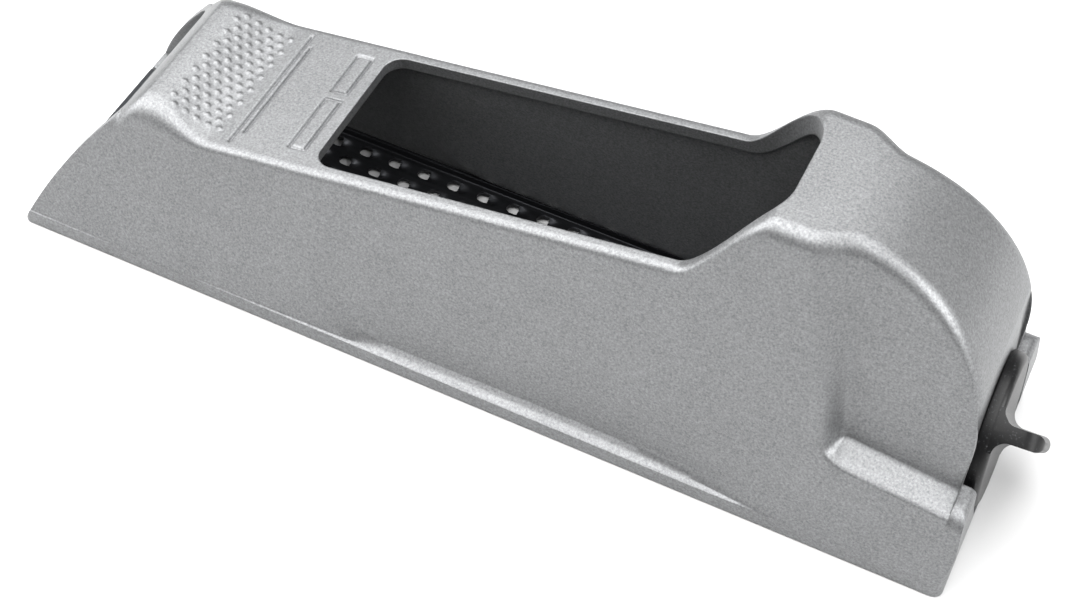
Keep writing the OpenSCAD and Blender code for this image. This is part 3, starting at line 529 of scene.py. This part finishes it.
def tooth_depth(x, y):
    """How far the strip is pressed down: deepest at the rear of each throat and level again a ramp further
    back, with a bell-shaped section across, in rows that are shifted one against the next."""
    row = np.clip(np.round(y / ROW_PITCH), -SIDE_ROWS, SIDE_ROWS)
    first = row_start(row)
    nearest = np.clip(np.floor((x - first) / TOOTH_PITCH), 0, TEETH - 1)
    t = x - first - nearest * TOOTH_PITCH
    along = np.where(t < THROAT, ease(t / THROAT), ease(1 - (t - THROAT) / TOOTH_RAMP)) * (t > 0)
    return TOOTH_H * along * ease(TOOTH_BELL * (1 - np.abs(y - row * ROW_PITCH) / (TOOTH_W / 2)))


def blade_rings():
    """The strip as one section run along it: level, bent up at both sides on a 0.9 mm radius."""
    s = np.linspace(STRIP_FROM, STRIP_TO, 300)[:, None]
    flat = np.linspace(-BLADE_HALF + BEND_R, BLADE_HALF - BEND_R, 109)[None, :]
    a = np.radians(np.linspace(0, 90, 7))[None, 1:]
    outer_y = np.concatenate([BLADE_HALF - BEND_R + BEND_R * np.sin(a), [[BLADE_HALF, BLADE_HALF - 0.1]]], 1)
    outer_z = np.concatenate([STRIP_Z + BEND_R - BEND_R * np.cos(a), [[FLANGE_TOP - 0.1, FLANGE_TOP]]], 1)
    r = BEND_R - BLADE_T
    inner_y = np.concatenate([[[BLADE_HALF - BLADE_T + 0.1, BLADE_HALF - BLADE_T]],
                              (BLADE_HALF - BEND_R + r * np.sin(a))[:, ::-1]], 1)
    inner_z = np.concatenate([[[FLANGE_TOP, FLANGE_TOP - 0.1]], (STRIP_Z + BEND_R - r * np.cos(a))[:, ::-1]], 1)
    side_y, side_z = np.concatenate([outer_y, inner_y], 1), np.concatenate([outer_z, inner_z], 1)
    pressed = tooth_depth(s, flat)
    grow = np.ones_like(s)
    y = np.concatenate([grow * flat, grow * side_y, grow * flat[:, ::-1], -grow * side_y[:, ::-1]], 1)
    z = np.concatenate([STRIP_Z - pressed, grow * side_z, STRIP_Z + BLADE_T - pressed[:, ::-1],
                        grow * side_z[:, ::-1]], 1)
    return np.repeat(s, y.shape[1], 1), y, z


def throats(material):
    """One solid with a straight bar for every throat: rounded ahead, square behind at the cutting edge."""
    r = TOOTH_W / 2 - 0.1
    d = np.concatenate([arc(r, 0, r, 90, 270, 13), [[THROAT, -r], [THROAT, r]]])
    row, number = [v.ravel() for v in np.meshgrid(np.arange(-SIDE_ROWS, SIDE_ROWS + 1), np.arange(TEETH))]
    x0 = row_start(row) + number * TOOTH_PITCH
    plan = d[None, :, :] + np.stack([x0, row * ROW_PITCH], 1)[:, None, :]
    n, m = plan.shape[:2]
    co = np.concatenate([np.concatenate([plan, np.full((n, m, 1), z)], 2) for z in (BELOW, 3.0)], 1)
    first = np.arange(n)[:, None, None] * 2 * m
    k = np.arange(m)
    sides = (first + np.stack([k, (k + 1) % m, m + (k + 1) % m, m + k], 1)[None]).reshape(-1, 4)
    ends = (first + np.stack([k[::-1], m + k])[None]).reshape(-1, m)
    return solid("throats", co.reshape(-1, 3), sides.tolist() + ends.tolist(), material)


blacked = oil_blacked_steel("oil-blacked rasp steel", "#1b1c1e", "#8d8f92", 0.42)
rasp = ring_mesh("rasp_blade", *blade_rings(), blacked)
joined(rasp, throats(blacked), "DIFFERENCE")
toe_end = np.concatenate([arc(BLADE_X + BEND_R, STRIP_Z + BEND_R, BEND_R, 270, 180, 8),
                          [[BLADE_X, TOE_TAB_TOP], [BLADE_X + BLADE_T, TOE_TAB_TOP]],
                          arc(BLADE_X + BEND_R, STRIP_Z + BEND_R, BEND_R - BLADE_T, 180, 270, 5),
                          [[STRIP_FROM + 1.8, STRIP_TOP], [STRIP_FROM + 1.8, STRIP_Z]]])
joined(rasp, prism("toe end", toe_end, -TOE_TAB, TOE_TAB, "y", blacked), "UNION")
# The heel end starts within the strip, goes round its bend in short chords and stands square to the screw
lean = math.tan(SCREW_TILT)
heel_end = np.array([[STRIP_TO - 0.5, STRIP_TOP], [STRIP_TO - 0.5, STRIP_Z], [BLADE_END - 0.2, STRIP_Z],
                     [BLADE_END + 0.45, STRIP_Z + 0.15], [BLADE_END + BLADE_T - 0.03, STRIP_Z + 0.7],
                     [BLADE_END + BLADE_T - (HEEL_TAB_TOP - STRIP_Z) * lean, HEEL_TAB_TOP],
                     [BLADE_END - (HEEL_TAB_TOP - STRIP_Z) * lean, HEEL_TAB_TOP],
                     [BLADE_END - BLADE_T * lean, STRIP_TOP]])
joined(rasp, prism("heel end", heel_end[::-1], -HEEL_TAB, HEEL_TAB, "y", blacked), "UNION")
rasp.data.shade_smooth()
rasp.data.set_sharp_from_angle(angle=SHARP)
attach(rasp, "plane")
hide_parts("blade")

# ---------------------------------------------------------------- tension hook
# Stamped and bent from 2.4 mm steel strip, left bright from the press. Its two lugs slide between the ribs
# in the casting, and its foot pulls the turned-up end of the blade.


def dress(name, material):
    """Gives a CAD node its finished material."""
    for part_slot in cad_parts[name].material_slots:
        part_slot.material = material


def stamped_steel(name, base, dark, rough):
    """Bright pressed steel: fine drawing lines across the strip, 0.2 mm apart, and faint handling stains."""
    mat, tree, shader = fresh(name)
    where = node(tree, "ShaderNodeTexCoord").outputs["Object"]
    across = node(tree, "ShaderNodeMapping", {"Scale": (1.0, 0.04, 1.0)}, {"Vector": where}).outputs[0]
    lines = node(tree, "ShaderNodeTexNoise", {"Scale": per_metre(0.2), "Detail": 2.0}, {"Vector": across})
    stain = node(tree, "ShaderNodeTexNoise", {"Scale": per_metre(6.25), "Detail": 4.0}, {"Vector": where})
    tint = node(tree, "ShaderNodeMix", {"data_type": "RGBA", 6: linear(dark), 7: linear(base)},
                {0: stain.outputs["Fac"]})
    tree.links.new(tint.outputs[2], shader.inputs["Base Color"])
    bump = node(tree, "ShaderNodeBump", {"Strength": 0.2, "Distance": 0.02 * MM}, {"Height": lines.outputs["Fac"]})
    tree.links.new(bump.outputs[0], shader.inputs["Normal"])
    shader.inputs["Metallic"].default_value = 1.0
    shader.inputs["Roughness"].default_value = rough
    return mat


dress("tension_hook", stamped_steel("bright stamped steel", "#b9b8b4", "#8f8e8a", 0.34))

# ---------------------------------------------------------------- screw, nut, washers and ring
# Standard zinc-plated hardware: an M5 screw whose hexagon head is moulded into the knob, a square nut that
# the hook's keepers stop from turning, two washers, and a blued spring ring in the screw's groove.

# Zinc keeps the steel's surface under it, only paler and smoother; the ring is tempered blue
zinc = stamped_steel("bright zinc plating", "#cfd2d4", "#a9adb1", 0.28)
for name in ("tension_screw", "tension_nut", "knob_washer", "wall_washer"):
    dress(name, zinc)
dress("retaining_ring", stamped_steel("blued spring steel", "#3a3d44", "#24262b", 0.3))

# ---------------------------------------------------------------- knob
# Moulded in black nylon round the head of the screw, which it turns: a disc with a thin bar across its face
# for the thumb and finger. It stands in its recess at the heel, clear of the casting.


def moulded_nylon(name, base):
    """Black glass-filled nylon: a semi-gloss skin with spark-eroded texture 0.3 mm across, and glass specks."""
    mat, tree, shader = fresh(name)
    where = node(tree, "ShaderNodeTexCoord").outputs["Object"]
    texture = node(tree, "ShaderNodeTexNoise", {"Scale": per_metre(0.2857), "Detail": 2.0}, {"Vector": where})
    specks = node(tree, "ShaderNodeTexNoise", {"Scale": per_metre(0.4348), "Detail": 3.0, "Roughness": 0.65},
                  {"Vector": where})
    ramp = node(tree, "ShaderNodeValToRGB", links={"Fac": specks.outputs["Fac"]})
    for stop, at, colour in zip(ramp.color_ramp.elements, (0.6, 0.78), (base, "#4a4b4d")):
        stop.position, stop.color = at, linear(colour)
    tree.links.new(ramp.outputs["Color"], shader.inputs["Base Color"])
    rough = node(tree, "ShaderNodeMapRange", {"To Min": 0.32, "To Max": 0.46}, {"Value": specks.outputs["Fac"]})
    tree.links.new(rough.outputs[0], shader.inputs["Roughness"])
    shader.inputs["Specular IOR Level"].default_value = 0.3
    bump = node(tree, "ShaderNodeBump", {"Strength": 0.25, "Distance": 0.03 * MM},
                {"Height": texture.outputs["Fac"]})
    tree.links.new(bump.outputs[0], shader.inputs["Normal"])
    return mat


# Disc, with the pocket for the screw's head behind; then the bar, which is sunk into the disc to join it
KNOB_R, KNOB_T, KNOB_ROUND, BACK_ROUND, HEAD_R, HEAD_T = 12.2, 2.5, 1.2, 0.35, 4.7, 1.7
BAR_T, BAR_FILLET, BAR_CORNER, BAR_HALF, BAR_TURN = 2.6, 2.2, 3.6, 12.1, math.radians(51)
KNOB_REACH, BAR_FOOT = 9.25, KNOB_T - 0.7
# The bar's three solids run past one another: the section by its half length, the outline by its half
# thickness, and the round of the disc by its height
SECTION_HALF, OUTLINE_HALF, ROUND_TOP = 14.0, 8.0, 12.0
nylon = moulded_nylon("black moulded nylon", "#0b0b0c")


def on_bar(co):
    """Points given across the bar, along it, and out from the seat, turned into tool millimetres."""
    a, b, u = np.asarray(co, float).T
    return along_screw(np.stack([u + FACE_GAP, b * math.cos(BAR_TURN) + a * math.sin(BAR_TURN),
                                 a * math.cos(BAR_TURN) - b * math.sin(BAR_TURN)], 1))


def bar_prism(name, outline, half, across):
    """Straight solid on an outline of (place, height) points, run along the bar or across it."""
    q = np.asarray(outline, float)
    ends = np.repeat([-half, half], len(q))
    place_on_bar, height = np.tile(q[:, 0], 2), np.tile(q[:, 1], 2)
    co = np.stack([ends, place_on_bar, height] if across else [place_on_bar, ends, height], 1)
    return solid(name, on_bar(co), prism_faces(len(q), not across), nylon)


# The disc as a profile of (radius, height) points, turned round the screw's axis
turned = np.concatenate([[[0.5, HEAD_T], [HEAD_R, HEAD_T], [HEAD_R, 0.0], [KNOB_R - BACK_ROUND, 0.0]],
                         arc(KNOB_R - BACK_ROUND, BACK_ROUND, BACK_ROUND, -70, 0, 5),
                         arc(KNOB_R - KNOB_ROUND, KNOB_T - KNOB_ROUND, KNOB_ROUND, 0, 90, 12), [[1.0, KNOB_T]]])
STEPS = 120  # points round the disc
around = np.linspace(0, 2 * np.pi, STEPS + 1)[None, :-1]
disc = on_bar(np.stack([(turned[:, :1] * np.cos(around)).ravel(), (turned[:, :1] * np.sin(around)).ravel(),
                        np.repeat(turned[:, 1], STEPS)], 1)).reshape(len(turned), STEPS, 3)
knob = ring_mesh("grip_knob", disc[..., 0], disc[..., 1], disc[..., 2], nylon)
# The bar: its section, run along it, within its outline seen from the side and within the round of the disc
foot = BAR_T / 2 + BAR_FILLET
section = np.concatenate([[[-foot, BAR_FOOT]], arc(-foot, KNOB_T + BAR_FILLET, BAR_FILLET, 270, 360, 12),
                          arc(0, KNOB_REACH - BAR_T / 2, BAR_T / 2, 180, 0, 20),
                          arc(foot, KNOB_T + BAR_FILLET, BAR_FILLET, 180, 270, 12), [[foot, BAR_FOOT]]])
outline = np.concatenate([[[-BAR_HALF, BAR_FOOT]],
                          arc(BAR_CORNER - BAR_HALF, KNOB_REACH - BAR_CORNER, BAR_CORNER, 180, 90, 14),
                          arc(BAR_HALF - BAR_CORNER, KNOB_REACH - BAR_CORNER, BAR_CORNER, 90, 0, 14),
                          [[BAR_HALF, BAR_FOOT]]])
bar = bar_prism("bar", section[::-1], SECTION_HALF, False)
joined(bar, bar_prism("bar outline", outline[::-1], OUTLINE_HALF, True), "INTERSECT")
joined(bar, screw_prism("bar ends", ring(BAR_HALF, STEPS), 0, ROUND_TOP, nylon), "INTERSECT")
joined(knob, bar, "UNION")
knob.data.shade_smooth()
knob.data.set_sharp_from_angle(angle=SHARP)
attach(knob, "knob_screw")
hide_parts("knob")

# ---------------------------------------------------------------- studio
# Plain white table that runs to the edge of the view, a large soft light overhead and a little towards the
# toe, a smaller one at each end of the tool, and the camera of the photograph: 335 mm off, 51 degrees up.

floor_mat, floor_tree, floor_shader = fresh("white studio table")
mottle = node(floor_tree, "ShaderNodeTexNoise", {"Scale": per_metre(16.67), "Detail": 3.0},
              {"Vector": node(floor_tree, "ShaderNodeTexCoord").outputs["Object"]})
pale = node(floor_tree, "ShaderNodeMix", {"data_type": "RGBA", 6: linear("#c4c4c4"), 7: linear("#cacaca")},
            {0: mottle.outputs["Fac"]})
floor_tree.links.new(pale.outputs[2], floor_shader.inputs["Base Color"])
floor_shader.inputs["Roughness"].default_value = 0.9
floor_shader.inputs["Specular IOR Level"].default_value = 0.2
TABLE_HALF = 3.0  # metres, past the edges of every view
table = bpy.data.meshes.new("table")
table.from_pydata([(x * TABLE_HALF, y * TABLE_HALF, 0) for x, y in ((-1, -1), (1, -1), (1, 1), (-1, 1))],
                  [], [(0, 1, 2, 3)])
table.materials.append(floor_mat)
table_top = bpy.data.objects.new("table", table)
bpy.context.scene.collection.objects.link(table_top)


def soft_light(name, at, size, watts):
    """A square soft box at one point that faces the tool."""
    lamp = bpy.data.lights.new(name, "AREA")
    lamp.shape, lamp.size, lamp.energy = "SQUARE", size, watts
    obj = bpy.data.objects.new(name, lamp)
    obj.location = at
    obj.rotation_euler = (-Vector(at)).to_track_quat("-Z", "Y").to_euler()
    bpy.context.scene.collection.objects.link(obj)


soft_light("overhead", (-0.22, 0.0, 0.9), 1.4, 32.0)
soft_light("left", (-0.95, -0.3, 0.45), 0.6, 9.0)
soft_light("right", (0.9, -0.02, 0.6), 0.6, 12.0)
world = bpy.data.worlds.new("white room")
world.use_nodes = True
world.node_tree.nodes["Background"].inputs["Color"].default_value = (1.0, 1.0, 1.0, 1.0)
world.node_tree.nodes["Background"].inputs["Strength"].default_value = 0.3
bpy.context.scene.world = world
bpy.context.scene.view_settings.view_transform = "Standard"

# The photograph's camera, solved from the tool's edges in it: focal length, place, and its own three axes
PHOTO_WIDTH_PX, FOCAL_PX, SENSOR = 1089, 2057, 36.0
CAMERA_AT = Vector((0.077471, -0.19458, 0.26074))
TO_THE_RIGHT = Vector((0.90377, 0.42462, 0.05376))
DOWNWARD = Vector((0.36115, -0.68915, -0.62821))
FORWARD = Vector((-0.22970, 0.58717, -0.77619))
camera = bpy.data.objects.new("camera", bpy.data.cameras.new("camera"))
bpy.context.scene.collection.objects.link(camera)
camera.data.sensor_width, camera.data.lens = SENSOR, SENSOR * FOCAL_PX / PHOTO_WIDTH_PX
camera.data.clip_start = 0.01
turn = Matrix((TO_THE_RIGHT, -DOWNWARD, -FORWARD)).transposed().to_4x4()
camera.matrix_world = Matrix.Translation(CAMERA_AT) @ turn
bpy.context.scene.camera = camera
